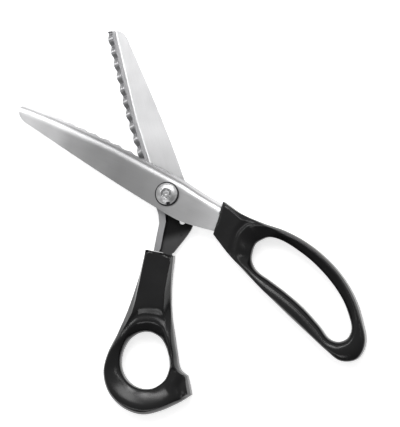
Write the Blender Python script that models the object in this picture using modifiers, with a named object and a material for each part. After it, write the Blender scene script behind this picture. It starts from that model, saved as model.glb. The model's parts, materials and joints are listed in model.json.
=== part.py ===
"""Nine-inch pinking shears, lying open on their side.

Each half is drawn round the pivot in its own frame: +X along its row of teeth to
the tip, its cutting edge on the -Y side, z = 0 on the plane where the two rows of
teeth mesh, and +Z outwards. The finger half keeps that frame. The thumb half is
the same kind of shape turned over about X and swung open about the pivot.
"""

import math

import bmesh
import bpy

MM = 0.001

# Driving dimensions, in metres and degrees.
SHEAR_PLANE_Z = 7.3 * MM  # height of the meshing plane above the table
REST_SWING = -51.8  # thumb half's tooth line measured from the finger half's
TOOTH_PITCH = 7.1 * MM  # measured along a radius from the pivot
TOOTH_DEPTH = 2.4 * MM
TOOTH_ROUND = 0.24  # share of the pitch that is rounded at each groove's bottom
MESH_CLEARANCE = 0.15 * MM  # each row of teeth stands back this much from the wave
HEEL_RADIUS = 22.0 * MM  # where the wave starts
FINGER_HEEL = 20.6  # the toothed section runs from here to the tip, along x in mm
THUMB_HEEL = 21.6
TIP_RADIUS = 103.5 * MM

SHEET = 1.9 * MM  # steel thickness of the flat
OUTER_FACE = 4.6 * MM
INNER_FACE = OUTER_FACE - SHEET
SHOULDER_WIDTH = 6.0 * MM  # plan width of the rounded shoulder along the edge
STRIP_WIDTH = 2.8 * MM  # the strip that carries the teeth
LEDGE_WIDTH = 4.3 * MM
LEDGE_HEIGHT = 1.5 * MM
FLANGE_FOOT = 0.65 * MM  # the plain flange stops this far from the shear plane
SPAN = 40 * MM  # swept width of the sheet, before its outline trims it

HANDLE_HALF = SHEAR_PLANE_Z  # so the handles lie on the table
WALL_HALF = 2.6 * MM
HOLE_ROUND = 6.5 * MM
RIM_ROUND = 3.6 * MM
POCKET_GAP = 0.3 * MM

BOSS_RADIUS = 6.8 * MM
BOSS_FACE = 0.6 * MM
STACK_GAP = 0.25 * MM  # between the pieces stacked on the pivot
BEARING_HALF = BOSS_FACE - STACK_GAP
SHANK_RADIUS = 2.9 * MM
SHANK_FIT = 0.2 * MM
KEY_HALF = 2.3 * MM  # half the width across the bolt's two flats
STUD_RADIUS = 1.95 * MM
WASHER_THICK = 0.5 * MM
WASHER_RADIUS = 6.7 * MM
NUT_RADIUS = 6.0 * MM
NUT_THICK = 1.8 * MM
HEAD_RADIUS = 6.4 * MM

# The cutting edge of each half, as (x, y) in mm along its length.
FINGER_EDGE = [(99, -13.9), (90, -14.6), (74, -15.0), (55, -14.8), (38, -14.3),
               (24, -13.2), (-6, -10.8), (-18, -8.7), (-30, -7.4), (-55, -7.4)]
THUMB_EDGE = [(100, -11.0), (90, -11.5), (70, -12.0), (45, -12.2), (24, -11.1),
              (0, -9.3), (-9, -8.8), (-14, -9.6), (-20, -12.6), (-27.6, -16.2),
              (-30, -18.4), (-36, -24), (-55, -36)]

# What each steel half looks like in plan, in mm. "c" marks a sharp corner.
FINGER_PLAN = [(91.8, -16.2, "c"), (95.7, -12.0), (95.9, -9.9), (94.3, -7.2),
               (90.9, -5.1), (84, -3.8), (50, 2.2), (24, 6.4), (3, 9.3),
               (-11, 10.8), (-20, 10.2), (-32.1, 8.4, "c"), (-32.0, 7.3, "c"),
               (-48.5, 6.5, "c"), (-50, 5), (-50, 0.8), (-48.5, -0.7, "c"),
               (-31.0, -1.0, "c"), (-30.0, -9.6, "c"), (24, -18, "c")]
THUMB_PLAN = [(96.6, -13.6, "c"), (96.1, -6.8), (95.0, -3.8), (91.3, -1.6),
              (84, -0.3), (50, 5.1), (24, 8.4), (3, 10.3), (-9, 10.9),
              (-16.6, 9.9), (-22.3, 6.3), (-31.8, -6.0, "c"), (-31.6, -6.6, "c"),
              (-48.4, -14.8, "c"), (-49.3, -16.8), (-47.7, -19.4),
              (-45.4, -20.2, "c"), (-30.2, -11.4, "c"), (-26.75, -18.3, "c"),
              (-14, -13, "c"), (24, -14, "c")]

# Each handle is a ring: spokes from the edge of its hole to its rim, in mm.
FINGER_SPOKES = [
    ((-55.4, 7.5), (-31.5, 0.6)), ((-55.7, 10.5), (-32.5, 10.0, "c")),
    ((-57.2, 15.0), (-43.9, 16.4)), ((-62.0, 18.9), (-58.3, 23.1)),
    ((-71.0, 21.0), (-69.7, 27.7)), ((-82.0, 23.6), (-80.7, 31.8)),
    ((-94.0, 27.4), (-92.2, 36.0)), ((-105.7, 32.7), (-104.3, 40.1)),
    ((-113.0, 36.7), (-114.8, 43.5)), ((-118.5, 36.5), (-124.4, 45.5)),
    ((-122.4, 32.8), (-132.2, 40.7)), ((-122.6, 27.3), (-132.8, 31.0)),
    ((-119.0, 21.7), (-126.5, 20.7)), ((-112.0, 14.4), (-118.1, 11.2)),
    ((-102.0, 7.9), (-106.7, 2.7)), ((-90.0, 2.6), (-93.5, -3.2)),
    ((-78.0, -0.6), (-80.5, -6.5)), ((-68.0, -1.8), (-68.0, -7.5)),
    ((-61.0, -0.6), (-55.0, -6.5)), ((-57.3, 2.8), (-42.0, -6.4)),
    ((-55.8, 5.2), (-30.3, -8.6, "c")),
]
THUMB_SPOKES = [
    ((-69.9, -33.0), (-30.1, -11.9)), ((-70.3, -30.6), (-33.6, -5.2, "c")),
    ((-71.6, -27.6), (-47.7, -10.4)), ((-74.8, -24.2), (-63.8, -14.4)),
    ((-78.9, -22.2), (-75.9, -15.8)), ((-85.0, -21.5), (-86.0, -16.8)),
    ((-90.4, -22.2), (-94.7, -17.4)), ((-93.5, -23.4), (-99.4, -14.3, "c")),
    ((-97.7, -26.4), (-110.1, -14.8, "c")), ((-100.0, -29.9), (-112.6, -23.0)),
    ((-101.2, -35.0), (-114.5, -36.0)), ((-99.9, -41.0), (-113.4, -45.4)),
    ((-96.6, -45.6), (-107.2, -54.0)), ((-92.1, -48.4), (-97.5, -59.3)),
    ((-87.0, -49.3), (-86.1, -59.4)), ((-82.1, -48.5), (-76.2, -54.4)),
    ((-77.9, -46.5), (-66.3, -45.7)), ((-74.3, -43.6), (-54.1, -36.1)),
    ((-71.7, -40.3), (-40.1, -27.0)), ((-70.1, -36.0), (-26.5, -19.0, "c")),
]

STEEL = {"colour": (0.72, 0.72, 0.73), "roughness": 0.32, "metallic": 1.0}
BRIGHT_STEEL = {"colour": (0.80, 0.80, 0.81), "roughness": 0.2, "metallic": 1.0}
BRONZE = {"colour": (0.62, 0.45, 0.26), "roughness": 0.4, "metallic": 1.0}
BLACK_PLASTIC = {"colour": (0.02, 0.02, 0.022), "roughness": 0.35, "metallic": 0.0}


def clear_scene():
    for obj in list(bpy.data.objects):
        bpy.data.objects.remove(obj)


def make_collection(name):
    collection = bpy.data.collections.new(name)
    bpy.context.scene.collection.children.link(collection)
    return collection


def make_material(name, look):
    material = bpy.data.materials.new(name)
    material.use_nodes = True
    shader = material.node_tree.nodes["Principled BSDF"]
    shader.inputs["Base Color"].default_value = (*look["colour"], 1.0)
    shader.inputs["Roughness"].default_value = look["roughness"]
    shader.inputs["Metallic"].default_value = look["metallic"]
    return material


def make_empty(name, collection, location, rotation):
    empty = bpy.data.objects.new(name, None)
    collection.objects.link(empty)
    empty.location = location
    empty.rotation_euler = rotation
    return empty


def add_object(name, bm, parent, collection):
    """Wraps a bmesh in an object that sits in its parent's frame."""
    bmesh.ops.recalc_face_normals(bm, faces=bm.faces)
    mesh = bpy.data.meshes.new(name)
    bm.to_mesh(mesh)
    bm.free()
    obj = bpy.data.objects.new(name, mesh)
    collection.objects.link(obj)
    obj.parent = parent
    return obj


def smooth_path(points, per_span):
    """A closed curve in metres through points given in mm, sharp at those marked "c"."""
    count = len(points)
    spots = [(p[0] * MM, p[1] * MM) for p in points]
    sharp = [len(p) > 2 for p in points]
    chord = [math.dist(spots[i], spots[(i + 1) % count]) for i in range(count)]

    def heading(i, span):
        """Velocity at point i as seen from the span that starts at point span."""
        ahead, behind = (span + 1) % count, span
        if not sharp[i]:
            ahead, behind = (i + 1) % count, i - 1
        time = chord[span] if sharp[i] else chord[i - 1] + chord[i]
        return [(spots[ahead][k] - spots[behind][k]) / time for k in (0, 1)]

    path = []
    for i in range(count):
        j = (i + 1) % count
        v0, v1 = heading(i, i), heading(j, i)
        for step in range(per_span):
            t = step / per_span
            h00 = 2 * t ** 3 - 3 * t ** 2 + 1
            h10 = t ** 3 - 2 * t ** 2 + t
            h01 = 3 * t ** 2 - 2 * t ** 3
            h11 = t ** 3 - t ** 2
            path.append(tuple(
                h00 * spots[i][k] + h01 * spots[j][k]
                + chord[i] * (h10 * v0[k] + h11 * v1[k]) for k in (0, 1)))
    return path


def loft(rings, closed=False):
    """Skins rings of equally many points; an open loft gets a cap at each end."""
    bm = bmesh.new()
    rows = [[bm.verts.new(p) for p in ring] for ring in rings]
    size = len(rows[0])
    pairs = list(zip(rows, rows[1:]))
    if closed:
        pairs.append((rows[-1], rows[0]))
    else:
        bm.faces.new(rows[0])
        bm.faces.new(list(reversed(rows[-1])))
    for a, b in pairs:
        for k in range(size):
            n = (k + 1) % size
            bm.faces.new((a[k], b[k], b[n], a[n]))
    return bm


def prism(outline, low, high):
    return loft([[(x, y, z) for x, y in outline] for z in (low, high)])


def disc(radius, centre=(0, 0), flat=None, sides=48):
    """A round outline, cut straight at x = +-flat where flat is given."""
    limit = radius if flat is None else flat
    outline = []
    for k in range(sides):
        angle = 2 * math.pi * (k + 0.5) / sides
        x = max(-limit, min(limit, radius * math.cos(angle)))
        outline.append((centre[0] + x, centre[1] + radius * math.sin(angle)))
    return outline


def boolean(obj, operation, other):
    modifier = obj.modifiers.new(operation.lower() + "_" + other.name, "BOOLEAN")
    modifier.operation = operation
    modifier.object = other
    modifier.solver = "EXACT"


def add_cutter(name, bm, parent, collection):
    obj = add_object(name, bm, parent, collection)
    obj.hide_render = True
    obj.display_type = "WIRE"
    return obj


def turned(name, profile, parent, collection, steps=48):
    """A profile of (radius, z) turned about Z; it runs down its outer side."""
    mesh = bpy.data.meshes.new(name)
    closed = profile[0][0] > 0
    edges = [(k, k + 1) for k in range(len(profile) - 1)]
    if closed:
        edges.append((len(profile) - 1, 0))
    mesh.from_pydata([(r, 0, z) for r, z in profile], edges, [])
    obj = bpy.data.objects.new(name, mesh)
    collection.objects.link(obj)
    obj.parent = parent
    screw = obj.modifiers.new("turn", "SCREW")
    screw.steps = screw.render_steps = steps
    screw.use_merge_vertices = True
    screw.merge_threshold = 0.00001
    return obj


def wave_height(radius):
    """Height of the meshing wave: a zigzag with its upper turns rounded."""
    phase = (radius / TOOTH_PITCH + 0.5) % 1.0
    rise = 2 * phase if phase < 0.5 else 2 - 2 * phase  # 0 at a point, 1 in a groove
    start = 1 - 2 * TOOTH_ROUND
    if rise > start:
        part = (rise - start) / (1 - start)
        rise = start + (1 - start) * (part - part * part / 2)
    top = start + (1 - start) / 2
    return TOOTH_DEPTH * (rise / top - 0.5)


def wave_cutter(side):
    """What is cut away under a row of teeth. side is 1 on the finger half, -1 on the thumb half."""
    count = round((TIP_RADIUS - HEEL_RADIUS) / TOOTH_PITCH * 10)
    radii = [HEEL_RADIUS + (TIP_RADIUS - HEEL_RADIUS) * k / count for k in range(count + 1)]
    floor = -4 * MM
    profile = [(r, side * wave_height(r) + MESH_CLEARANCE) for r in radii]
    profile += [(TIP_RADIUS, floor), (HEEL_RADIUS, floor)]
    rings = []
    for degrees in range(-56, 21, 4):
        angle = math.radians(degrees)
        rings.append([(r * math.cos(angle), r * math.sin(angle), z) for r, z in profile])
    return loft(rings)


def edge_at(edge, x):
    """y of the cutting edge at x, both in mm."""
    for (x1, y1), (x0, y0) in zip(edge, edge[1:]):
        if x0 <= x <= x1:
            return y0 + (y1 - y0) * (x - x0) / (x1 - x0)
    raise ValueError("x lies outside the edge")


def shoulder_curve(steps=8):
    """The outer face from the strip up over the rounded shoulder, as (y, z)."""
    p0, p1 = (0.76 * MM, 1.3 * MM), (1.55 * MM, 3.75 * MM)
    p2, p3 = (3.4 * MM, OUTER_FACE), (SHOULDER_WIDTH, OUTER_FACE)
    curve = []
    for k in range(steps + 1):
        t = k / steps
        a, b, c, d = (1 - t) ** 3, 3 * t * (1 - t) ** 2, 3 * t * t * (1 - t), t ** 3
        curve.append(tuple(a * p0[i] + b * p1[i] + c * p2[i] + d * p3[i] for i in (0, 1)))
    return curve


def blade_section(toothed):
    """Section across the steel as (distance in from the edge, z)."""
    foot = -TOOTH_DEPTH / 2 - 0.1 * MM if toothed else FLANGE_FOOT
    ledge = LEDGE_HEIGHT if toothed else foot
    start = 0.0 if toothed else 0.42 * MM
    section = [(start, foot), (STRIP_WIDTH, foot)]
    section.append((STRIP_WIDTH + 0.15 * MM, ledge))
    section.append((LEDGE_WIDTH, ledge + 0.02 * MM))
    section.append((LEDGE_WIDTH + 0.35 * MM, INNER_FACE - 0.35 * MM))
    section.append((LEDGE_WIDTH + 0.95 * MM, INNER_FACE))
    section.append((SPAN, INNER_FACE))
    section.append((SPAN, OUTER_FACE))
    return section + list(reversed(shoulder_curve()))


def swept_sheet(edge, heel):
    """The bent sheet, swept along its cutting edge from tip to tang."""
    stations = {x for x, _ in edge} | {82, 64, 30, 12, -12, -24, heel, heel - 0.3}
    rings = []
    for x in sorted(stations, reverse=True):
        y = edge_at(edge, x)
        section = blade_section(x >= heel)
        rings.append([(x * MM, y * MM + dy, z) for dy, z in section])
    return loft(rings)


def make_blade(name, edge, heel, plan, side, hole, half, parts, cutters):
    blade = add_object(name, swept_sheet(edge, heel), half, parts)
    trim = add_cutter(name + "_plan", prism(smooth_path(plan, 5), -6 * MM, 9 * MM), half, cutters)
    boolean(blade, "INTERSECT", trim)
    boss = add_cutter(name + "_boss", prism(disc(BOSS_RADIUS), BOSS_FACE, INNER_FACE + 0.6 * MM),
                      half, cutters)
    boolean(blade, "UNION", boss)
    boolean(blade, "DIFFERENCE", add_cutter(name + "_wave", wave_cutter(side), half, cutters))
    bore = add_cutter(name + "_bore", prism(hole, -2 * MM, 9 * MM), half, cutters)
    boolean(blade, "DIFFERENCE", bore)
    return blade


def drill(blade, label, radius, centre, low, high, half, cutters):
    """A small round hole or dimple; centre is in mm."""
    spot = (centre[0] * MM, centre[1] * MM)
    tool = prism(disc(radius, spot, sides=24), low, high)
    boolean(blade, "DIFFERENCE", add_cutter(blade.name + label, tool, half, cutters))


def rounding(distance, radius):
    """0 at an edge, 1 once the distance from it reaches the radius."""
    part = 1 - min(1.0, distance / radius)
    return math.sqrt(1 - part * part)


def handle_ring(spokes, per_span=3, across=8):
    """A handle lofted round its hole, each section rounded at the hole and at the rim."""
    inner = smooth_path([s[0] for s in spokes], per_span)
    outer = smooth_path([s[1] for s in spokes], per_span)
    shares = [(1 - math.cos(math.pi * k / across)) / 2 for k in range(across + 1)]
    rings = []
    for a, b in zip(inner, outer):
        width = math.dist(a, b)
        fit = min(1.0, width / (HOLE_ROUND + RIM_ROUND))
        top = []
        for q in shares:
            lift = rounding(q * width, HOLE_ROUND * fit) * rounding((1 - q) * width, RIM_ROUND * fit)
            height = WALL_HALF + (HANDLE_HALF - WALL_HALF) * lift
            top.append((a[0] + (b[0] - a[0]) * q, a[1] + (b[1] - a[1]) * q, height))
        rings.append(top + [(x, y, -z) for x, y, z in reversed(top)])
    return loft(rings, closed=True)


def make_handle(name, spokes, pocket, half, parts, cutters):
    """pocket is the outline in mm of the space that takes the blade's tang."""
    handle = add_object(name, handle_ring(spokes), half, parts)
    outline = [(x * MM, y * MM) for x, y in pocket]
    space = prism(outline, INNER_FACE - POCKET_GAP, OUTER_FACE + POCKET_GAP)
    boolean(handle, "DIFFERENCE", add_cutter(name + "_pocket", space, half, cutters))
    return handle


def make_bolt(root, parts, cutters):
    """Flat head under the thumb blade, round shank, keyed neck and threaded stud."""
    head_top = -OUTER_FACE - 2 * STACK_GAP - WASHER_THICK
    neck_top = OUTER_FACE - STACK_GAP
    stud_top = OUTER_FACE + 2 * STACK_GAP + WASHER_THICK + NUT_THICK
    chamfer = 0.35 * MM
    profile = [
        (0, stud_top), (STUD_RADIUS - chamfer, stud_top), (STUD_RADIUS, stud_top - chamfer),
        (STUD_RADIUS, neck_top), (SHANK_RADIUS, neck_top), (SHANK_RADIUS, head_top),
        (HEAD_RADIUS - chamfer, head_top), (HEAD_RADIUS, head_top - chamfer),
        (HEAD_RADIUS, -SHEAR_PLANE_Z + chamfer), (HEAD_RADIUS - chamfer, -SHEAR_PLANE_Z),
        (0, -SHEAR_PLANE_Z),
    ]
    bolt = turned("pivot_bolt", profile, root, parts)
    for sign in (-1, 1):
        near, far = sign * KEY_HALF, sign * 2 * SHANK_RADIUS
        outline = [(near, -5 * MM), (far, -5 * MM), (far, 5 * MM), (near, 5 * MM)]
        side = add_cutter(f"bolt_flat{sign}", prism(outline, BOSS_FACE, 6 * MM), root, cutters)
        boolean(bolt, "DIFFERENCE", side)
    return bolt


def make_nut(root, parts, cutters):
    """Round domed nut, countersunk round the stud, with one spanner notch in its rim."""
    base = OUTER_FACE + 2 * STACK_GAP + WASHER_THICK
    top = base + NUT_THICK
    bore = STUD_RADIUS + SHANK_FIT
    sink = 3.05 * MM
    profile = [(bore, top - 0.75 * MM), (sink, top), (4.2 * MM, top - 0.12 * MM),
               (5.3 * MM, top - 0.55 * MM), (NUT_RADIUS, base + 0.9 * MM),
               (NUT_RADIUS, base), (bore, base)]
    nut = turned("pivot_nut", profile, root, parts)
    notch_half, depth = 0.95 * MM, 1.2 * MM
    notch_heading = math.radians(123.5)
    reach = [(NUT_RADIUS - depth, -notch_half), (NUT_RADIUS + 1 * MM, -notch_half),
             (NUT_RADIUS + 1 * MM, notch_half), (NUT_RADIUS - depth, notch_half)]
    c, s = math.cos(notch_heading), math.sin(notch_heading)
    outline = [(x * c - y * s, x * s + y * c) for x, y in reach]
    notch = add_cutter("nut_notch", prism(outline, base - 1 * MM, top + 1 * MM), root, cutters)
    boolean(nut, "DIFFERENCE", notch)
    return nut


def make_washer(name, bore, radius, low, high, root, parts):
    profile = [(bore, high), (radius, high), (radius, low), (bore, low)]
    return turned(name, profile, root, parts)


def main():
    clear_scene()
    parts = make_collection("pinking_shears")
    cutters = make_collection("cutters")
    steel = make_material("satin_steel", STEEL)
    bright = make_material("bright_steel", BRIGHT_STEEL)
    bronze = make_material("bronze", BRONZE)
    plastic = make_material("black_plastic", BLACK_PLASTIC)

    pivot = (0, 0, SHEAR_PLANE_Z)
    finger_half = make_empty("finger_half", parts, pivot, (0, 0, 0))
    swing = math.radians(REST_SWING)
    thumb_half = make_empty("thumb_half", parts, pivot, (math.pi, 0, swing))

    keyed = disc(SHANK_RADIUS + SHANK_FIT, flat=KEY_HALF + SHANK_FIT)
    finger_blade = make_blade("finger_blade", FINGER_EDGE, FINGER_HEEL, FINGER_PLAN, 1,
                              keyed, finger_half, parts, cutters)
    drill(finger_blade, "_punch", 0.45 * MM, (-6.4, 7.6), OUTER_FACE - 0.4 * MM, 9 * MM,
          finger_half, cutters)
    thumb_blade = make_blade("thumb_blade", THUMB_EDGE, THUMB_HEEL, THUMB_PLAN, -1,
                             disc(SHANK_RADIUS + SHANK_FIT), thumb_half, parts, cutters)
    drill(thumb_blade, "_hole", 1.75 * MM, (-16.1, 3.3), 0, 9 * MM, thumb_half, cutters)
    drill(thumb_blade, "_sink", 3.1 * MM, (-16.1, 3.3), 0, INNER_FACE + 0.4 * MM,
          thumb_half, cutters)
    drill(thumb_blade, "_dimple", 0.7 * MM, (-23.7, 1.0), 0, INNER_FACE + 0.7 * MM,
          thumb_half, cutters)

    finger_pocket = [(-28, -1.3), (-48.7, -1.1), (-50.4, 0.7), (-50.4, 5.1), (-48.7, 6.9),
                     (-28, 7.8)]
    thumb_pocket = [(-30.1, -5.3), (-48.6, -14.4), (-49.8, -16.8), (-48.0, -19.7),
                    (-45.3, -20.6), (-27.2, -10.6)]
    finger_handle = make_handle("finger_handle", FINGER_SPOKES, finger_pocket, finger_half,
                                parts, cutters)
    thumb_handle = make_handle("thumb_handle", THUMB_SPOKES, thumb_pocket, thumb_half,
                               parts, cutters)

    bolt = make_bolt(finger_half, parts, cutters)
    nut = make_nut(finger_half, parts, cutters)
    washer_low = OUTER_FACE + STACK_GAP
    nut_washer = make_washer("nut_washer", STUD_RADIUS + SHANK_FIT, WASHER_RADIUS, washer_low,
                             washer_low + WASHER_THICK, finger_half, parts)
    spring_washer = make_washer("spring_washer", SHANK_RADIUS + SHANK_FIT, HEAD_RADIUS,
                                -washer_low - WASHER_THICK, -washer_low, finger_half, parts)
    bearing = make_washer("bearing_washer", SHANK_RADIUS + SHANK_FIT, BOSS_RADIUS,
                          -BEARING_HALF, BEARING_HALF, finger_half, parts)

    looks = [(finger_blade, steel), (thumb_blade, steel), (finger_handle, plastic),
             (thumb_handle, plastic), (bolt, bright), (nut, bright), (nut_washer, bright),
             (spring_washer, steel), (bearing, bronze)]
    for obj, material in looks:
        obj.data.materials.append(material)


main()
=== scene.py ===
import json
import math

import bmesh
import bpy
import numpy as np
from mathutils import Matrix, Vector


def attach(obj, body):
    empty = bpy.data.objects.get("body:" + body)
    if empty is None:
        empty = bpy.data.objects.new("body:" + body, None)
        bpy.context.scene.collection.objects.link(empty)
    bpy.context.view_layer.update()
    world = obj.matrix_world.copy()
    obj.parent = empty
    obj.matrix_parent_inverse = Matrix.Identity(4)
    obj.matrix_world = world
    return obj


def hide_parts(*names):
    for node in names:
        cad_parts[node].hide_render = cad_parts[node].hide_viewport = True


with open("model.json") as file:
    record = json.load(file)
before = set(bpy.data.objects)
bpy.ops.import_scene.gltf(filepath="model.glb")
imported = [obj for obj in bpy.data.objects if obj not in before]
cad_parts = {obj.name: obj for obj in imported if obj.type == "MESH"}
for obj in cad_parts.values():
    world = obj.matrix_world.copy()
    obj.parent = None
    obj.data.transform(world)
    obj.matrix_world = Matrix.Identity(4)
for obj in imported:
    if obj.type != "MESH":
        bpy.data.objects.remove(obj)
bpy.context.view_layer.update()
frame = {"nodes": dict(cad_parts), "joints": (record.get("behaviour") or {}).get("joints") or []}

mm = 0.001
pivotHeight = frame["joints"][0]["pos_m"][2]
restSwing = math.radians(-51.8)  # how far the thumb half is swung open


def fingerToWorld(points):
    points = np.asarray(points, dtype=float)
    return points * mm + np.array([0, 0, pivotHeight])


def thumbToWorld(points):
    # the thumb half is drawn like the finger half, turned over about X and swung open
    x, y, z = (np.asarray(points, dtype=float) * mm).T
    c, s = math.cos(restSwing), math.sin(restSwing)
    return np.column_stack([x * c + y * s, x * s - y * c, pivotHeight - z])


def smoothLoop(points, perSpan):
    # closed curve through the points; "c" as a last value makes one sharp
    count = len(points)
    spots = np.array([p[:2] for p in points], dtype=float)
    sharp = [p[-1] == "c" for p in points]
    chord = [np.linalg.norm(spots[(i + 1) % count] - spots[i]) for i in range(count)]

    def heading(i, span):
        if sharp[i]:
            return (spots[(span + 1) % count] - spots[span]) / chord[span]
        return (spots[(i + 1) % count] - spots[i - 1]) / (chord[i - 1] + chord[i])

    path = []
    for i in range(count):
        j = (i + 1) % count
        for t in np.arange(perSpan) / perSpan:
            bend = (t**3 - 2 * t**2 + t) * heading(i, i) + (t**3 - t**2) * heading(j, i)
            path.append((2 * t**3 - 3 * t**2 + 1) * spots[i] + (3 * t**2 - 2 * t**3) * spots[j]
                        + chord[i] * bend)
    return np.array(path)


def smoothValues(values, perSpan):
    # the same kind of curve for numbers that change round the loop
    pull = 0.3  # how far a value's neighbours tilt the curve there
    values = np.array(values, dtype=float)
    curve = []
    for i in range(len(values)):
        a, b, c, d = (values[(i + k) % len(values)] for k in (-1, 0, 1, 2))
        for t in np.arange(perSpan) / perSpan:
            curve.append((1 - t * t * (3 - 2 * t)) * b + t * t * (3 - 2 * t) * c
                         + (c - a) * pull * (t**3 - 2 * t**2 + t) + (d - b) * pull * (t**3 - t**2))
    return np.array(curve)


def distanceTo(points, line):
    # shortest distance from each point to an open line
    best = np.full(len(points), 1e9)
    for a, b in zip(line[:-1], line[1:]):
        along = b - a
        t = np.clip(((points - a) @ along) / max(along @ along, 1e-12), 0, 1)
        best = np.minimum(best, np.linalg.norm(points - a - t[:, None] * along, axis=1))
    return best


def softMin(a, b, soft):
    # the smaller of two heights, with the crease between them rounded
    h = np.clip(0.5 + 0.5 * (b - a) / soft, 0, 1)
    return b + (a - b) * h - soft * h * (1 - h)


def smoothStep(x):
    x = np.clip(x, 0, 1)
    return x * x * (3 - 2 * x)


def makeObject(name, verts, faces):
    mesh = bpy.data.meshes.new(name)
    mesh.from_pydata([tuple(v) for v in verts], [], [tuple(int(i) for i in f) for f in faces])
    mesh.validate()
    obj = bpy.data.objects.new(name, mesh)
    bpy.context.scene.collection.objects.link(obj)
    return obj


def skinRings(rings):
    # faces for equal rings skinned round a closed loop
    count, size = len(rings), len(rings[0])
    faces = []
    for i in range(count):
        a, b = i * size, (i + 1) % count * size
        for k in range(size):
            n = (k + 1) % size
            faces.append((a + k, b + k, b + n, a + n))
    return np.concatenate(rings), faces


def fixNormals(obj):
    bm = bmesh.new()
    bm.from_mesh(obj.data)
    bmesh.ops.recalc_face_normals(bm, faces=bm.faces)
    bm.to_mesh(obj.data)
    bm.free()


def applyModifiers(obj):
    depsgraph = bpy.context.evaluated_depsgraph_get()
    mesh = bpy.data.meshes.new_from_object(obj.evaluated_get(depsgraph))
    obj.modifiers.clear()
    obj.data = mesh


def shadeSmooth(obj, degrees):
    obj.data.shade_smooth()
    obj.data.set_sharp_from_angle(angle=math.radians(degrees))


def turnPiece(name, profile, steps, waves=0, waveHeight=0.0):
    # a closed (radius, z) profile turned round the pivot's axis
    rings = []
    for k in range(steps):
        angle = 2 * math.pi * k / steps
        lift = waveHeight * math.sin(waves * angle)
        rings.append([(r * math.cos(angle), r * math.sin(angle), z + lift) for r, z in profile])
    verts, faces = skinRings(rings)
    obj = makeObject(name, fingerToWorld(verts), faces)
    bm = bmesh.new()
    bm.from_mesh(obj.data)
    bmesh.ops.remove_doubles(bm, verts=bm.verts, dist=0.000002)
    bmesh.ops.recalc_face_normals(bm, faces=bm.faces)
    bm.to_mesh(obj.data)
    bm.free()
    return obj


def cutWith(obj, cutter):
    cut = obj.modifiers.new("cut", "BOOLEAN")
    cut.operation = "DIFFERENCE"
    cut.solver = "EXACT"
    cut.object = cutter
    applyModifiers(obj)
    bpy.data.objects.remove(cutter)


def prism(name, outline, low, high, place):
    size = len(outline)
    verts = [(x, y, z) for z in (low, high) for x, y in outline]
    faces = [tuple(reversed(range(size))), tuple(range(size, 2 * size))]
    faces += [(k, (k + 1) % size, size + (k + 1) % size, size + k) for k in range(size)]
    obj = makeObject(name, place(verts), faces)
    fixNormals(obj)
    return obj


def newMaterial(name):
    material = bpy.data.materials.new(name)
    material.use_nodes = True
    nodes, links = material.node_tree.nodes, material.node_tree.links
    return material, nodes, links, nodes["Principled BSDF"]


def addNode(nodes, kind, **inputs):
    node = nodes.new(kind)
    for key, value in inputs.items():
        node.inputs[key.replace("_", " ")].default_value = value
    return node


def addRamp(nodes, stops):
    ramp = nodes.new("ShaderNodeValToRGB")
    ramp.color_ramp.elements[0].position, first = stops[0]
    ramp.color_ramp.elements[0].color = (*[first] * 3, 1) if isinstance(first, float) else (*first, 1)
    ramp.color_ramp.elements[1].position, last = stops[-1]
    ramp.color_ramp.elements[1].color = (*[last] * 3, 1) if isinstance(last, float) else (*last, 1)
    return ramp


brushedSteelLook = {
    "roughness": (0.33, 0.42),
    "grain": 5000.0,
    "stretch": 60.0,  # how much longer than wide a brushing line is
    "bump": 0.03,
    "bumpDepth": 0.0004,  # metres
    "cloud": 45.0,
    "scratch": 700.0,
    "scratchCut": (0.68, 0.74),  # only the highest parts of the noise become scratches
    "streaks": (0.16, 0.92),  # how strongly they change the tone, and from what level
    "blotches": (0.22, 0.89),
    # painted shade: one steady tone for the raised flange and teeth, darker than the flat near the tip
    "flange": (0.46, 0.46, 0.47, 1),
    "recessEdge": (2.2, 1.4),  # depths below the mating plane between which the flange begins
    "span": (-60.0, 100.0),  # the stretch of blade that the tones below cover
}
# painted reflection and shade along each blade, from the handle to the tip, as (place along the blade,
# brightness); the finger blade is painted brighter towards its tip and its heel, darker in between, a
# painted reflection
fingerPaintedReflection = [(-30, 0.7), (-14, 0.54), (6, 0.4), (30, 0.33),
                   (46, 0.36), (60, 0.47), (74, 0.64), (88, 0.84)]
# the thumb blade is painted near black from -26 to -10 mm, a painted shadow of the finger blade on the
# shank, and painted bright towards the tip, a painted reflection
thumbPaintedShadeAndReflection = [(-50, 0.14), (-26, 0.1), (-20, 0.02), (-10, 0.015),
                  (2, 0.4), (10, 0.78), (50, 0.9), (90, 0.92)]


def mathNode(nodes, links, operation, *values):
    node = nodes.new("ShaderNodeMath")
    node.operation = operation
    for socket, value in zip(node.inputs, values):
        if isinstance(value, (int, float)):
            socket.default_value = value
        else:
            links.new(value, socket)
    return node.outputs[0]


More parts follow.
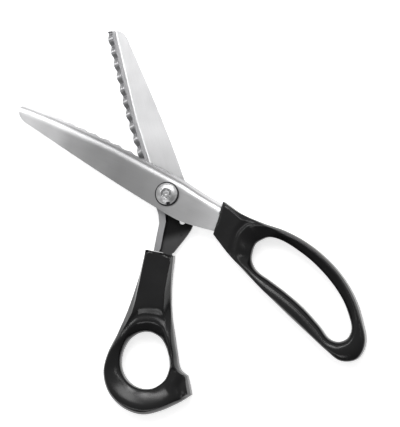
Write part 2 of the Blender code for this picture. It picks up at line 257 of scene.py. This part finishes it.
def brushedSteel(name, tones, heading, side):
    # satin steel brushed along the blade, with faint blotches, hairline scratches and a painted
    # reflection and shade that change along the blade;
    # side is 1 where the blade's outer face is up and -1 where its recessed face is up
    look = brushedSteelLook
    material, nodes, links, shader = newMaterial(name)
    place = nodes.new("ShaderNodeTexCoord")
    turn = nodes.new("ShaderNodeMapping")
    turn.inputs["Rotation"].default_value = (0, 0, -heading)
    links.new(place.outputs["Object"], turn.inputs["Vector"])
    squeeze = nodes.new("ShaderNodeMapping")
    squeeze.inputs["Scale"].default_value = (1 / look["stretch"], 1, 1)
    links.new(turn.outputs["Vector"], squeeze.inputs["Vector"])
    split = nodes.new("ShaderNodeSeparateXYZ")
    links.new(turn.outputs["Vector"], split.inputs["Vector"])

    # painted reflection and shade along the blade: the brightness is set by the place along the blade
    first, last = look["span"]
    along = nodes.new("ShaderNodeMapRange")
    along.inputs["From Min"].default_value = first * mm
    along.inputs["From Max"].default_value = last * mm
    links.new(split.outputs["X"], along.inputs["Value"])
    tone = nodes.new("ShaderNodeValToRGB")
    tone.color_ramp.interpolation = "EASE"
    while len(tone.color_ramp.elements) < len(tones):
        tone.color_ramp.elements.new(0.5)
    for element, (spot, value) in zip(tone.color_ramp.elements, tones):
        element.position = (spot - first) / (last - first)
        element.color = (value, value, value * 1.01, 1)
    links.new(along.outputs["Result"], tone.inputs["Fac"])

    grain = addNode(nodes, "ShaderNodeTexNoise", Scale=look["grain"], Detail=3.0, Roughness=0.6)
    links.new(squeeze.outputs["Vector"], grain.inputs["Vector"])
    cloud = addNode(nodes, "ShaderNodeTexNoise", Scale=look["cloud"], Detail=5.0, Roughness=0.6)
    links.new(turn.outputs["Vector"], cloud.inputs["Vector"])
    scratch = addNode(nodes, "ShaderNodeTexNoise", Scale=look["scratch"], Detail=2.0, Roughness=0.4,
                      Distortion=0.6)
    links.new(squeeze.outputs["Vector"], scratch.inputs["Vector"])
    start, full = look["scratchCut"]
    fine = addRamp(nodes, [(start, 0.0), (full, 1.0)])
    links.new(scratch.outputs["Fac"], fine.inputs["Fac"])

    # streaks and blotches lighten and darken the tone a little
    streaks = mathNode(nodes, links, "MULTIPLY_ADD", grain.outputs["Fac"], *look["streaks"])
    blotches = mathNode(nodes, links, "MULTIPLY_ADD", cloud.outputs["Fac"], *look["blotches"])
    marks = mathNode(nodes, links, "MULTIPLY", streaks, blotches)
    colour = nodes.new("ShaderNodeVectorMath")
    colour.operation = "MULTIPLY"
    recess = tone.outputs["Color"]
    if side < 0:
        # the recess keeps the painted reflection and shade along the blade; the raised flange and teeth
        # beside it get one steady tone, which keeps the painted shadow off the flange and paints the
        # teeth darker than the flat, a painted shade
        lifted = nodes.new("ShaderNodeMapRange")
        lifted.inputs["From Min"].default_value = pivotHeight - look["recessEdge"][0] * mm
        lifted.inputs["From Max"].default_value = pivotHeight - look["recessEdge"][1] * mm
        links.new(split.outputs["Z"], lifted.inputs["Value"])
        mix = nodes.new("ShaderNodeMix")
        mix.data_type = "RGBA"
        mix.inputs["B"].default_value = look["flange"]
        links.new(lifted.outputs["Result"], mix.inputs["Factor"])
        links.new(recess, mix.inputs["A"])
        recess = mix.outputs["Result"]
    links.new(recess, colour.inputs[0])
    links.new(marks, colour.inputs[1])
    links.new(colour.outputs["Vector"], shader.inputs["Base Color"])

    blend = mathNode(nodes, links, "MULTIPLY_ADD", grain.outputs["Fac"], 0.5, cloud.outputs["Fac"])
    rough = nodes.new("ShaderNodeMapRange")
    rough.inputs["From Min"].default_value = 0.5
    rough.inputs["From Max"].default_value = 1.0
    rough.inputs["To Min"].default_value = look["roughness"][0]
    rough.inputs["To Max"].default_value = look["roughness"][1]
    links.new(blend, rough.inputs["Value"])
    links.new(rough.outputs["Result"], shader.inputs["Roughness"])

    height = mathNode(nodes, links, "MULTIPLY_ADD", fine.outputs["Color"], -0.5, grain.outputs["Fac"])
    bump = addNode(nodes, "ShaderNodeBump", Strength=look["bump"], Distance=look["bumpDepth"])
    links.new(height, bump.inputs["Height"])
    links.new(bump.outputs["Normal"], shader.inputs["Normal"])
    shader.inputs["Metallic"].default_value = 1.0
    return material


turnedSteelLook = {
    "rings": 5200.0,  # scale of the tool marks round the axis
    "bump": 0.05,
    "bumpDepth": 0.0003,  # metres
    "cloud": 260.0,
    "dull": 0.82,  # share of the colour left in the darker patches
}


def turnedSteel(name, colour, roughness):
    # lathe-turned metal: fine rings round the pivot's axis
    look = turnedSteelLook
    material, nodes, links, shader = newMaterial(name)
    place = nodes.new("ShaderNodeTexCoord")
    split = nodes.new("ShaderNodeSeparateXYZ")
    links.new(place.outputs["Object"], split.inputs["Vector"])
    flat = nodes.new("ShaderNodeCombineXYZ")
    links.new(split.outputs["X"], flat.inputs["X"])
    links.new(split.outputs["Y"], flat.inputs["Y"])
    radius = nodes.new("ShaderNodeVectorMath")
    radius.operation = "LENGTH"
    links.new(flat.outputs["Vector"], radius.inputs[0])
    rings = addNode(nodes, "ShaderNodeTexNoise", Scale=look["rings"], Detail=2.0, Roughness=0.5)
    line = nodes.new("ShaderNodeCombineXYZ")
    links.new(radius.outputs["Value"], line.inputs["X"])
    links.new(line.outputs["Vector"], rings.inputs["Vector"])
    cloud = addNode(nodes, "ShaderNodeTexNoise", Scale=look["cloud"], Detail=4.0, Roughness=0.6)
    links.new(place.outputs["Object"], cloud.inputs["Vector"])
    tone = addRamp(nodes, [(0.3, tuple(c * look["dull"] for c in colour)), (0.65, colour)])
    links.new(cloud.outputs["Fac"], tone.inputs["Fac"])
    links.new(tone.outputs["Color"], shader.inputs["Base Color"])
    rough = nodes.new("ShaderNodeMapRange")
    rough.inputs["To Min"].default_value = roughness[0]
    rough.inputs["To Max"].default_value = roughness[1]
    links.new(rings.outputs["Fac"], rough.inputs["Value"])
    links.new(rough.outputs["Result"], shader.inputs["Roughness"])
    bump = addNode(nodes, "ShaderNodeBump", Strength=look["bump"], Distance=look["bumpDepth"])
    links.new(rings.outputs["Fac"], bump.inputs["Height"])
    links.new(bump.outputs["Normal"], shader.inputs["Normal"])
    shader.inputs["Metallic"].default_value = 1.0
    return material


plasticLook = {
    "colour": (0.0035, 0.0035, 0.0038),
    "worn": (0.006, 0.006, 0.0064),
    "roughness": (0.17, 0.25),
    "grain": 2600.0,
    "cloud": 60.0,
    "bump": 0.05,
    "bumpDepth": 0.0003,  # metres
}


def mouldedPlastic(name):
    # semi-gloss black plastic with a faint moulded grain and rubbed patches
    look = plasticLook
    material, nodes, links, shader = newMaterial(name)
    place = nodes.new("ShaderNodeTexCoord")
    cloud = addNode(nodes, "ShaderNodeTexNoise", Scale=look["cloud"], Detail=5.0, Roughness=0.6)
    links.new(place.outputs["Object"], cloud.inputs["Vector"])
    grain = addNode(nodes, "ShaderNodeTexNoise", Scale=look["grain"], Detail=2.0, Roughness=0.5)
    links.new(place.outputs["Object"], grain.inputs["Vector"])
    tone = addRamp(nodes, [(0.35, look["colour"]), (0.75, look["worn"])])
    links.new(cloud.outputs["Fac"], tone.inputs["Fac"])
    links.new(tone.outputs["Color"], shader.inputs["Base Color"])
    rough = nodes.new("ShaderNodeMapRange")
    rough.inputs["From Min"].default_value = 0.3
    rough.inputs["From Max"].default_value = 0.7
    rough.inputs["To Min"].default_value = look["roughness"][0]
    rough.inputs["To Max"].default_value = look["roughness"][1]
    links.new(cloud.outputs["Fac"], rough.inputs["Value"])
    links.new(rough.outputs["Result"], shader.inputs["Roughness"])
    bump = addNode(nodes, "ShaderNodeBump", Strength=look["bump"], Distance=look["bumpDepth"])
    links.new(grain.outputs["Fac"], bump.inputs["Height"])
    links.new(bump.outputs["Normal"], shader.inputs["Normal"])
    return material


# Each spoke runs from the edge of the hole to the handle's outline. Its third item
# names the section that the handle has there, and "c" makes a sharp corner. In a section:
# rim: the rim's crest, as its distance from the hole, or from the outline where negative;
# wall, crest, edge: half heights at the hole, the crest and the outline;
# bevel: width of the bevel along the neck; round: 0 a crisp dish, 1 a round rod;
# crease: how softly the crest is rounded; neck: share of the neck's shape outside it
sectionKeys = ("rim", "wall", "crest", "edge", "bevel", "round", "crease", "neck")
fingerHandle = {
    "spokes": [
        ((-55.4, 7.5), (-31.5, 0.6), "neck"),
        ((-55.7, 10.5), (-32.5, 10.0, "c"), "neckLow"),
        ((-57.2, 15.0), (-43.9, 16.4), "neckLow"),
        ((-62.0, 18.9), (-58.3, 23.1), "armStart"),
        ((-71.0, 21.0), (-69.7, 27.7), "innerArm"),
        ((-82.0, 23.6), (-80.7, 31.8), "innerArm"),
        ((-94.0, 27.4), (-92.2, 36.0), "innerArm"),
        ((-105.7, 32.7), (-104.3, 40.1), "innerArm"),
        ((-113.0, 36.7), (-114.8, 43.5), "end"),
        ((-118.5, 36.5), (-124.4, 45.5), "end"),
        ((-122.4, 32.8), (-132.2, 40.7), "end"),
        ((-122.6, 27.3), (-132.8, 31.0), "end"),
        ((-119.0, 21.7), (-126.5, 20.7), "endTurn"),
        ((-112.0, 14.4), (-118.1, 11.2), "outerArm"),
        ((-102.0, 7.9), (-106.7, 2.7), "outerArm"),
        ((-90.0, 2.6), (-93.5, -3.2), "outerArm"),
        ((-78.0, -0.6), (-80.5, -6.5), "outerArm"),
        ((-68.0, -1.8), (-68.0, -7.5), "outerArm"),
        ((-61.0, -0.6), (-55.0, -6.5), "neckTurn"),
        ((-57.3, 2.8), (-42.0, -6.4), "neckCorner"),
        ((-55.8, 5.2), (-30.3, -8.6, "c"), "neck"),
    ],
    "sections": {  # in the order of sectionKeys
        "neck": (9.4, 1.4, 7.0, 4.9, 1.9, 0.35, 0.6, 1.0),
        "neckLow": (8.6, 1.6, 7.0, 6.4, 0.8, 0.5, 0.7, 1.0),
        "armStart": (3.9, 2.4, 6.8, 2.6, 1.4, 0.9, 0.8, 0.1),
        "innerArm": (5.8, 2.8, 7.25, 1.6, 3.6, 1.0, 0.8, 0.0),
        "end": (4.6, 2.4, 7.2, 4.4, 3.0, 0.9, 0.9, 0.0),
        "endTurn": (-2.4, 2.6, 7.2, 4.6, 1.4, 0.5, 0.6, 0.0),
        "outerArm": (-2.0, 3.4, 7.3, 4.8, 1.1, 0.1, 0.6, 0.0),
        "neckTurn": (-1.9, 2.6, 7.1, 5.0, 1.5, 0.15, 0.35, 0.1),
        "neckCorner": (9.4, 1.6, 7.0, 4.9, 3.3, 0.3, 0.6, 1.0),
    },
    "frontCorners": (20, 1),  # spokes at the two ends of the front face
    "frontTop": 6.3,  # half height of the neck's flat at its front end
    "neckLength": 22.0,
    "valley": (1.8, 6.05),  # width of the valley behind the rim, and its half height
    "step": 3.4,
    "pocket": [(-28, -1.3), (-48.7, -1.1), (-50.4, 0.7), (-50.4, 5.1), (-48.7, 6.9), (-28, 7.8)],
}

thumbHandle = {
    "spokes": [
        ((-69.9, -33.0), (-30.1, -11.9), "neck"),
        ((-70.3, -30.6), (-33.6, -5.2, "c"), "neckFar"),
        ((-71.6, -27.6), (-47.7, -10.4), "neckSide"),
        ((-74.8, -24.2), (-63.8, -14.4), "neckTurn"),
        ((-78.9, -22.2), (-75.9, -15.8), "innerArm"),
        ((-85.0, -21.5), (-86.0, -16.8), "innerArm"),
        ((-90.4, -22.2), (-94.7, -17.4), "lugTurn"),
        ((-93.5, -23.4), (-99.4, -14.3, "c"), "lug"),
        ((-97.7, -26.4), (-110.1, -14.8, "c"), "lug"),
        ((-100.0, -29.9), (-112.6, -23.0), "end"),
        ((-101.2, -35.0), (-114.5, -36.0), "end"),
        ((-99.9, -41.0), (-113.4, -45.4), "end"),
        ((-96.6, -45.6), (-107.2, -54.0), "end"),
        ((-92.1, -48.4), (-97.5, -59.3), "end"),
        ((-87.0, -49.3), (-86.1, -59.4), "outerArm"),
        ((-82.1, -48.5), (-76.2, -54.4), "outerArm"),
        ((-77.9, -46.5), (-66.3, -45.7), "outerTurn"),
        ((-74.3, -43.6), (-54.1, -36.1), "neckSide"),
        ((-71.7, -40.3), (-40.1, -27.0), "neckSide"),
        ((-70.1, -36.0), (-26.5, -19.0, "c"), "neck"),
    ],
    "sections": {  # in the order of sectionKeys
        "neck": (6.4, 1.2, 6.5, 5.2, 1.3, 0.5, 0.9, 1.0),
        "neckFar": (6.4, 1.2, 6.5, 3.4, 1.6, 0.5, 0.9, 1.0),
        "neckSide": (6.4, 1.4, 6.5, 2.6, 3.4, 0.5, 0.9, 1.0),
        "neckTurn": (5.8, 1.8, 6.5, 2.2, 4.2, 0.4, 0.8, 0.5),
        "innerArm": (-3.6, 3.2, 7.1, 2.0, 3.6, 0.7, 0.5, 0.0),
        "lugTurn": (-3.2, 3.0, 7.1, 2.0, 2.0, 0.6, 0.6, 0.0),
        "lug": (6.0, 2.6, 6.9, 3.2, 1.0, 0.7, 0.8, 0.9),
        "end": (10.4, 3.2, 7.25, 3.2, 2.6, 0.45, 1.4, 0.0),
        "outerArm": (-1.6, 2.4, 7.1, 3.6, 1.6, 0.6, 1.0, 0.0),
        "outerTurn": (6.8, 1.8, 6.6, 2.8, 3.0, 0.45, 0.8, 0.5),
    },
    "frontCorners": (19, 1),
    "frontTop": 6.3,
    "neckLength": 34.0,
    "valley": (3.2, 5.9),
    "step": 5.4,
    "pocket": [(-30.1, -5.3), (-48.6, -14.4), (-49.8, -16.8), (-48.0, -19.7), (-45.3, -20.6),
               (-27.2, -10.6)],
}

handleMesh = {
    "perSpan": 12,
    "inside": 16,  # rows between the hole and the rim's crest
    "outside": 40,  # rows between the crest and the outline
    "thickness": 7.26,  # half height of the neck's flat
    "frontRound": 0.7,
    "bulge": 0.04,  # how far the side walls swell at mid height, as a share of the edge's height
    "bulgeStart": 8.0,  # the swelling grows over this distance from the front face
    "lipSlope": 0.5,  # fall of the narrow flat just outside a crisp crest
    "sideSlope": 2.2,  # fall from that flat down to the side wall
    "lipSoft": 0.3,  # rounding between the two
    "bevelSoft": 0.35,
    "rimMargin": 0.9,  # the crest stays at least this far inside the outline
    "insideCrowd": 1.3,  # above 1, rows gather towards the hole
    "outsideCrowd": 1.25,  # and towards the crest
    "wallRows": (0.8, 0.55, 0.3, 0.06, 0.0, -0.06, -0.3, -0.55, -0.8),  # shares of the edge's height
    "pocketSpan": (2.4, 4.9),  # heights between which the blade's tang lies
    "sharpAngle": 38,
    "seam": 0.05,  # how far the mould's parting line stands out
    "inset": 0.12,  # keeps the seam inside the solid handle's outline
}


def rise(t, roundness):
    # 0 to 1 from an edge up to a crest: a straight slope, or the quarter of an ellipse
    t = np.clip(t, 0, 1.6)
    curve = np.sqrt(np.clip(1 - (1 - np.minimum(t, 1)) ** 2, 0, 1))
    return (1 - roundness) * t + roundness * curve


def handleTop(shape, spots, hole, outline, front, along, width, v):
    # half height of the handle at each spot; along is the distance from the hole
    m = handleMesh
    funnel = v["wall"] + (v["crest"] - v["wall"]) * rise(along / v["rim"], v["round"])
    roll = v["edge"] + (v["crest"] - v["edge"]) * rise((width - along) / (width - v["rim"]), 1)
    lip = softMin(v["crest"] - m["lipSlope"] * (along - v["rim"]),
                  v["edge"] + m["sideSlope"] * (width - along), m["lipSoft"])
    roll = (1 - v["round"]) * lip + v["round"] * roll
    toFront = distanceTo(spots, front)
    climb = m["thickness"] - shape["frontTop"]
    flat = shape["frontTop"] + climb * smoothStep(toFront / shape["neckLength"])
    valleyWidth, valleyHeight = shape["valley"]
    past = along - v["rim"]
    down = valleyHeight + (v["crest"] - valleyHeight) * (valleyWidth - past) / valleyWidth
    up = valleyHeight + (flat - valleyHeight) * smoothStep((past - valleyWidth) / shape["step"])
    neck = np.where(past < valleyWidth, down, up)
    toSide = distanceTo(spots, outline)
    bevel = v["edge"] + (m["thickness"] - v["edge"]) * toSide / v["bevel"]
    neck = softMin(neck, bevel, m["bevelSoft"])
    turn = 1 - np.clip(toFront / m["frontRound"], 0, 1)
    neck = np.minimum(neck, flat - m["frontRound"] * (1 - np.sqrt(1 - turn * turn)))
    outer = (1 - v["neck"]) * roll + v["neck"] * neck
    return softMin(funnel, outer, v["crease"])


def makeHandle(name, shape, place):
    m = handleMesh
    spokes = shape["spokes"]
    sections = [dict(zip(sectionKeys, shape["sections"][s[2]])) for s in spokes]
    hole = smoothLoop([s[0] for s in spokes], m["perSpan"])
    rim = smoothLoop([s[1] for s in spokes], m["perSpan"])
    inset = (rim - hole) / np.linalg.norm(rim - hole, axis=1)[:, None] * m["inset"]
    rim = rim - inset
    values = {key: smoothValues([section[key] for section in sections], m["perSpan"])
              for key in sectionKeys[1:]}
    frontEnds = np.array([rim[m["perSpan"] * k] for k in shape["frontCorners"]])
    bulge = m["bulge"] * values["edge"] * smoothStep(distanceTo(rim, frontEnds) / m["bulgeStart"])
    outward = (rim - hole) / np.linalg.norm(rim - hole, axis=1)[:, None]
    rim = rim - outward * bulge[:, None]
    width = np.linalg.norm(rim - hole, axis=1)
    crests = [section["rim"] for section in sections]
    spans = [math.dist(s[0][:2], s[1][:2]) for s in spokes]
    crests = [c if c > 0 else span + c for c, span in zip(crests, spans)]
    values["rim"] = np.minimum(smoothValues(crests, m["perSpan"]), width - m["rimMargin"])

    # the outline without the front face, for the bevel that runs along the neck's sides
    away = distanceTo(rim, frontEnds)
    start = int(np.argmax(np.where(away < 0.01, 0, 1) * (np.roll(away, 1) < 0.01)))
    sides = np.array([p for p, d in zip(np.roll(rim, -start, axis=0), np.roll(away, -start)) if d > 0.01])
    sides = np.vstack([frontEnds[np.argmin(np.linalg.norm(frontEnds - sides[0], axis=1))], sides,
                       frontEnds[np.argmin(np.linalg.norm(frontEnds - sides[-1], axis=1))]])

    inner = [math.sin(math.pi / 2 * k / m["inside"]) ** m["insideCrowd"] for k in range(m["inside"])]
    outer = [0.5 - 0.5 * math.cos(math.pi * (k / m["outside"]) ** m["outsideCrowd"])
             for k in range(m["outside"] + 1)]
    rows = [values["rim"] * share for share in inner]
    rows += [values["rim"] + (width - values["rim"]) * share for share in outer]
    heading = (rim - hole) / width[:, None]
    tops = []
    for along in rows:
        spots = hole + heading * along[:, None]
        z = handleTop(shape, spots, hole, sides, frontEnds, along, width, values)
        tops.append(np.column_stack([spots, z]))
    top = np.array(tops).transpose(1, 0, 2)  # [station, row, xyz]

    rings = []
    for station, ring in enumerate(top):
        out = heading[station]
        edge = ring[-1]
        wall = []
        for share in m["wallRows"]:
            push = bulge[station] * (1 - share * share) + (m["seam"] if share == 0 else 0)
            wall.append((edge[0] + out[0] * push, edge[1] + out[1] * push, edge[2] * share))
        bottom = [(p[0], p[1], -p[2]) for p in reversed(ring)]
        first = ring[0]
        inside = [(first[0], first[1], first[2] * share) for share in (-0.4, 0.4)]
        rings.append([tuple(p) for p in ring] + wall + bottom + inside)
    verts, faces = skinRings(rings)
    obj = makeObject(name, place(verts), faces)
    fixNormals(obj)
    pocket = prism(name + "_pocket", shape["pocket"], *m["pocketSpan"], place)
    cutWith(obj, pocket)
    shadeSmooth(obj, m["sharpAngle"])
    return obj


bladeFinish = {
    "bevel": 0.09,
    "segments": 2,
    "bevelAngle": 32,  # edges sharper than this are broken
    "sharpAngle": 30,
    "flatAngle": 0.6,  # facets closer in angle than this are joined
}


def makeBlade(name, node):
    # the blade keeps its solid's shape; its edges are broken with a fine bevel
    source = frame["nodes"][node]
    obj = bpy.data.objects.new(name, source.data.copy())
    bpy.context.scene.collection.objects.link(obj)
    bm = bmesh.new()
    bm.from_mesh(obj.data)
    bmesh.ops.remove_doubles(bm, verts=bm.verts, dist=0.000004)
    flatAngle = math.radians(bladeFinish["flatAngle"])
    bmesh.ops.dissolve_limit(bm, angle_limit=flatAngle, verts=bm.verts, edges=bm.edges)
    bm.to_mesh(obj.data)
    bm.free()
    bevel = obj.modifiers.new("edges", "BEVEL")
    bevel.width = bladeFinish["bevel"] * mm
    bevel.segments = bladeFinish["segments"]
    bevel.limit_method = "ANGLE"
    bevel.angle_limit = math.radians(bladeFinish["bevelAngle"])
    applyModifiers(obj)
    shadeSmooth(obj, bladeFinish["sharpAngle"])
    weigh = obj.modifiers.new("weigh", "WEIGHTED_NORMAL")
    weigh.keep_sharp = True
    applyModifiers(obj)
    return obj


turnedSharp = 32  # degrees

nutShape = {
    "steps": 144,
    # from the bore up the countersink, over the dome and down the rim, as (radius, z)
    "profile": [(2.15, 6.6), (2.3, 6.6), (2.5, 6.68), (2.72, 7.0), (2.88, 7.3), (2.98, 7.38),
                (3.1, 7.4), (3.25, 7.385), (3.5, 7.32), (3.9, 7.17), (4.4, 6.98), (4.9, 6.79),
                (5.1, 6.7), (5.24, 6.6), (5.34, 6.54), (5.44, 6.54), (5.6, 6.58), (5.76, 6.55),
                (5.9, 6.4), (5.97, 6.15), (6.0, 5.9), (6.0, 5.7), (5.97, 5.63), (5.9, 5.6),
                (2.25, 5.6), (2.15, 5.7)],
    "notch": (4.5, 7.2, 1.05),  # inner and outer reach and half width
    "notchHeading": math.radians(123.5),
    "notchSpan": (5.0, 8.0),
}
boltShape = {
    "steps": 144,
    "profile": [(0, 7.3), (0.3, 7.31), (0.45, 7.37), (0.6, 7.4), (1.5, 7.4), (1.68, 7.36),
                (1.88, 7.14), (1.95, 7.0), (1.95, 4.4), (1.98, 4.35), (2.8, 4.35), (2.9, 4.25),
                (2.9, -5.55), (2.95, -5.6), (6.1, -5.6), (6.3, -5.68), (6.4, -5.9), (6.4, -6.7),
                (6.32, -7.0), (6.05, -7.22), (5.7, -7.3), (0.9, -7.3), (0.7, -7.24), (0.4, -7.1),
                (0, -7.05)],
    "keyHalf": 2.3,  # half the width across the two flats
    "keySpan": (0.6, 4.6),
    "keyReach": 5.0,
}
washers = {
    # the nut's washer is near black, a painted shadow ring round the nut
    "nutWasher": dict(node="nut_washer", finish="washerPaintedShadow", slot="bright_steel", bore=2.15,
                      radius=6.7, low=4.85, high=5.35, waves=0, waveHeight=0.0),
    "springWasher": dict(node="spring_washer", finish="springSteel", slot="bright_steel", bore=3.1,
                         radius=6.4, low=-5.35, high=-4.85, waves=3, waveHeight=0.1),
    "bearingWasher": dict(node="bearing_washer", finish="bronze", slot="bronze", bore=3.1,
                          radius=6.8, low=-0.35, high=0.35, waves=0, waveHeight=0.0),
}


def ringProfile(look):
    # a flat ring with its four edges rounded
    soft = 0.12
    corners = ((look["bore"], look["high"], 1, -1), (look["radius"], look["high"], -1, -1),
               (look["radius"], look["low"], -1, 1), (look["bore"], look["low"], 1, 1))
    points = []
    for k, (r, z, inR, inZ) in enumerate(corners):
        arc = [(r + inR * soft * (1 - math.sin(a)), z + inZ * soft * (1 - math.cos(a)))
               for a in (math.pi / 2, math.pi / 3, math.pi / 6, 0)]
        points += arc if k % 2 == 0 else arc[::-1]
    return points


def makeNut():
    nut = turnPiece("pivotNut", nutShape["profile"], nutShape["steps"])
    near, far, half = nutShape["notch"]
    c, s = math.cos(nutShape["notchHeading"]), math.sin(nutShape["notchHeading"])
    corners = ((near, -half), (far, -half), (far, half), (near, half))
    outline = [(x * c - y * s, x * s + y * c) for x, y in corners]
    cutWith(nut, prism("notch", outline, *nutShape["notchSpan"], fingerToWorld))
    shadeSmooth(nut, turnedSharp)
    return nut


def makeBolt():
    bolt = turnPiece("pivotBolt", boltShape["profile"], boltShape["steps"])
    low, high = boltShape["keySpan"]
    for sign in (-1, 1):
        reach = boltShape["keyReach"]
        near, far = sign * boltShape["keyHalf"], sign * reach
        outline = [(near, -reach), (far, -reach), (far, reach), (near, reach)]
        cutWith(bolt, prism("flat", outline[::sign], low, high, fingerToWorld))
    shadeSmooth(bolt, turnedSharp)
    return bolt


finish = {
    "fingerSteel": brushedSteel("satin_steel_finger_painted_reflection", fingerPaintedReflection, 0.0, 1),
    "thumbSteel": brushedSteel("satin_steel_thumb_painted_shade", thumbPaintedShadeAndReflection, restSwing, -1),
    "nutSteel": turnedSteel("turned_steel", (0.62, 0.62, 0.625), (0.28, 0.4)),
    # near-black steel for the nut's washer: a painted shadow round the nut
    "washerPaintedShadow": turnedSteel("washer_painted_shadow", (0.06, 0.06, 0.063), (0.45, 0.6)),
    "springSteel": turnedSteel("spring_steel", (0.6, 0.6, 0.61), (0.3, 0.4)),
    "bronze": turnedSteel("bearing_bronze", (0.62, 0.42, 0.22), (0.28, 0.42)),
    "plastic": mouldedPlastic("black_plastic"),
}


def dress(piece, material, body, node):
    piece.data.materials.clear()
    piece.data.materials.append(finish[material])
    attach(piece, body)
    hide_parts(node)


fingerGrip = makeHandle("fingerGrip", fingerHandle, fingerToWorld)
dress(fingerGrip, "plastic", "finger_half", "finger_handle")
print("finger grip made")
thumbGrip = makeHandle("thumbGrip", thumbHandle, thumbToWorld)
dress(thumbGrip, "plastic", "thumb_half", "thumb_handle")
print("thumb grip made")
dress(makeBlade("fingerBlade", "finger_blade"), "fingerSteel", "finger_half", "finger_blade")
dress(makeBlade("thumbBlade", "thumb_blade"), "thumbSteel", "thumb_half", "thumb_blade")
print("blades made")

dress(makeNut(), "nutSteel", "finger_half", "pivot_nut")
dress(makeBolt(), "nutSteel", "finger_half", "pivot_bolt")
for name, look in washers.items():
    piece = turnPiece(name, ringProfile(look), 120, look["waves"], look["waveHeight"])
    shadeSmooth(piece, 40)
    dress(piece, look["finish"], "finger_half", look["node"])
print("pivot pieces finished")


stage = {
    "floorSize": 3.0,  # metres
    "floorColour": (0.93, 0.93, 0.93),
    "worldColour": (1.0, 1.0, 1.0),
    "skyTop": 0.5,  # brightness of the room on the view's upper side
    "skyBottom": 0.16,  # and on its lower side
    "floorGlow": 0.64,  # keeps the paper pure white right up to the shears
    # soft boxes: name, heading and elevation in degrees, distance in metres,
    # width and height in metres, watts
    "boxes": [
        ("keyBox", 72, 51, 1.2, (0.3, 0.26), 1.9),
        ("highBox", 75, 67, 1.2, (0.4, 0.26), 1.5),
        ("upperBox", 108, 51, 1.2, (0.26, 0.26), 1.6),
        ("upperLeft", 138, 52, 1.2, (0.5, 0.12), 1.4),
        ("leftBox", 200, 35, 1.2, (0.4, 0.4), 0.5),
        ("lowerLeft", 237, 50, 1.2, (0.24, 0.24), 0.6),
        ("lowerRight", 262, 50, 1.2, (0.24, 0.24), 0.6),
        ("rightStrip", 34, 50, 1.2, (1.1, 0.06), 1.2),
    ],
    "viewTurn": math.radians(-156.3),  # world heading of the view's right-hand side
    "tilt": math.radians(10),
    "tiltHeading": math.radians(-15),  # from the view's right-hand side
    "distance": 1.4,  # metres
    "aim": (32.0, -19.4),  # where the view's middle lies from the pivot, in steps of 0.55 mm
    "step": 0.55,
    "viewHeight": 427,
    "sensor": 36.0,
}


def viewDirection(angle):
    heading = stage["viewTurn"] + angle
    return Vector((math.cos(heading), math.sin(heading), 0))


def makeFloor():
    size = stage["floorSize"]
    verts = [(-size, -size, 0), (size, -size, 0), (size, size, 0), (-size, size, 0)]
    floor = makeObject("floor", np.array(verts) - np.array([0, 0, 0.00005]), [(0, 1, 2, 3)])
    material, nodes, links, shader = newMaterial("table_paper")
    place = nodes.new("ShaderNodeTexCoord")
    speck = addNode(nodes, "ShaderNodeTexNoise", Scale=900.0, Detail=3.0)
    links.new(place.outputs["Object"], speck.inputs["Vector"])
    base = stage["floorColour"]
    tone = addRamp(nodes, [(0.3, tuple(c * 0.985 for c in base)), (0.7, base)])
    links.new(speck.outputs["Fac"], tone.inputs["Fac"])
    links.new(tone.outputs["Color"], shader.inputs["Base Color"])
    shader.inputs["Roughness"].default_value = 0.8
    shader.inputs["Emission Color"].default_value = (1, 1, 1, 1)
    shader.inputs["Emission Strength"].default_value = stage["floorGlow"]
    floor.data.materials.append(material)


def addLight(name, heading, elevation, distance, size, power):
    # a soft box aimed at the shears; its heading is from the view's right-hand side
    light = bpy.data.lights.new(name, "AREA")
    light.shape = "RECTANGLE"
    light.size, light.size_y = size
    light.energy = power
    obj = bpy.data.objects.new(name, light)
    bpy.context.scene.collection.objects.link(obj)
    flat = viewDirection(math.radians(heading)) * math.cos(math.radians(elevation))
    place = flat + Vector((0, 0, math.sin(math.radians(elevation))))
    obj.location = place * distance
    obj.rotation_euler = place.to_track_quat("Z", "Y").to_euler()


def makeCamera():
    s = stage
    right, up = viewDirection(0), viewDirection(math.pi / 2)
    aim = Vector((0, 0, pivotHeight)) + (right * s["aim"][0] + up * s["aim"][1]) * s["step"] * mm
    lean = viewDirection(s["tiltHeading"])
    back = lean * math.sin(s["tilt"]) + Vector((0, 0, math.cos(s["tilt"])))
    side = up.cross(back).normalized()
    top = back.cross(side)
    camera = bpy.data.cameras.new("camera")
    camera.sensor_width = s["sensor"]
    camera.lens = s["sensor"] * s["distance"] / (s["viewHeight"] * s["step"] * mm)
    obj = bpy.data.objects.new("camera", camera)
    bpy.context.scene.collection.objects.link(obj)
    obj.location = aim + back * s["distance"]
    obj.rotation_euler = Matrix((side, top, back)).transposed().to_euler()
    bpy.context.scene.camera = obj


def makeSky(world):
    # a grey room, lighter on the view's upper side
    nodes, links = world.node_tree.nodes, world.node_tree.links
    place = nodes.new("ShaderNodeTexCoord")
    side = nodes.new("ShaderNodeVectorMath")
    side.operation = "DOT_PRODUCT"
    side.inputs[1].default_value = viewDirection(math.pi / 2)
    links.new(place.outputs["Generated"], side.inputs[0])
    level = nodes.new("ShaderNodeMapRange")
    level.inputs["From Min"].default_value = -0.7
    level.inputs["From Max"].default_value = 0.5
    level.inputs["To Min"].default_value = stage["skyBottom"]
    level.inputs["To Max"].default_value = stage["skyTop"]
    links.new(side.outputs["Value"], level.inputs["Value"])
    links.new(level.outputs["Result"], nodes["Background"].inputs["Strength"])
    nodes["Background"].inputs["Color"].default_value = (*stage["worldColour"], 1)


makeFloor()
for box in stage["boxes"]:
    addLight(*box)
world = bpy.data.worlds.new("studio")
world.use_nodes = True
makeSky(world)
bpy.context.scene.world = world
bpy.context.scene.view_settings.view_transform = "Standard"
makeCamera()
print("stage set")
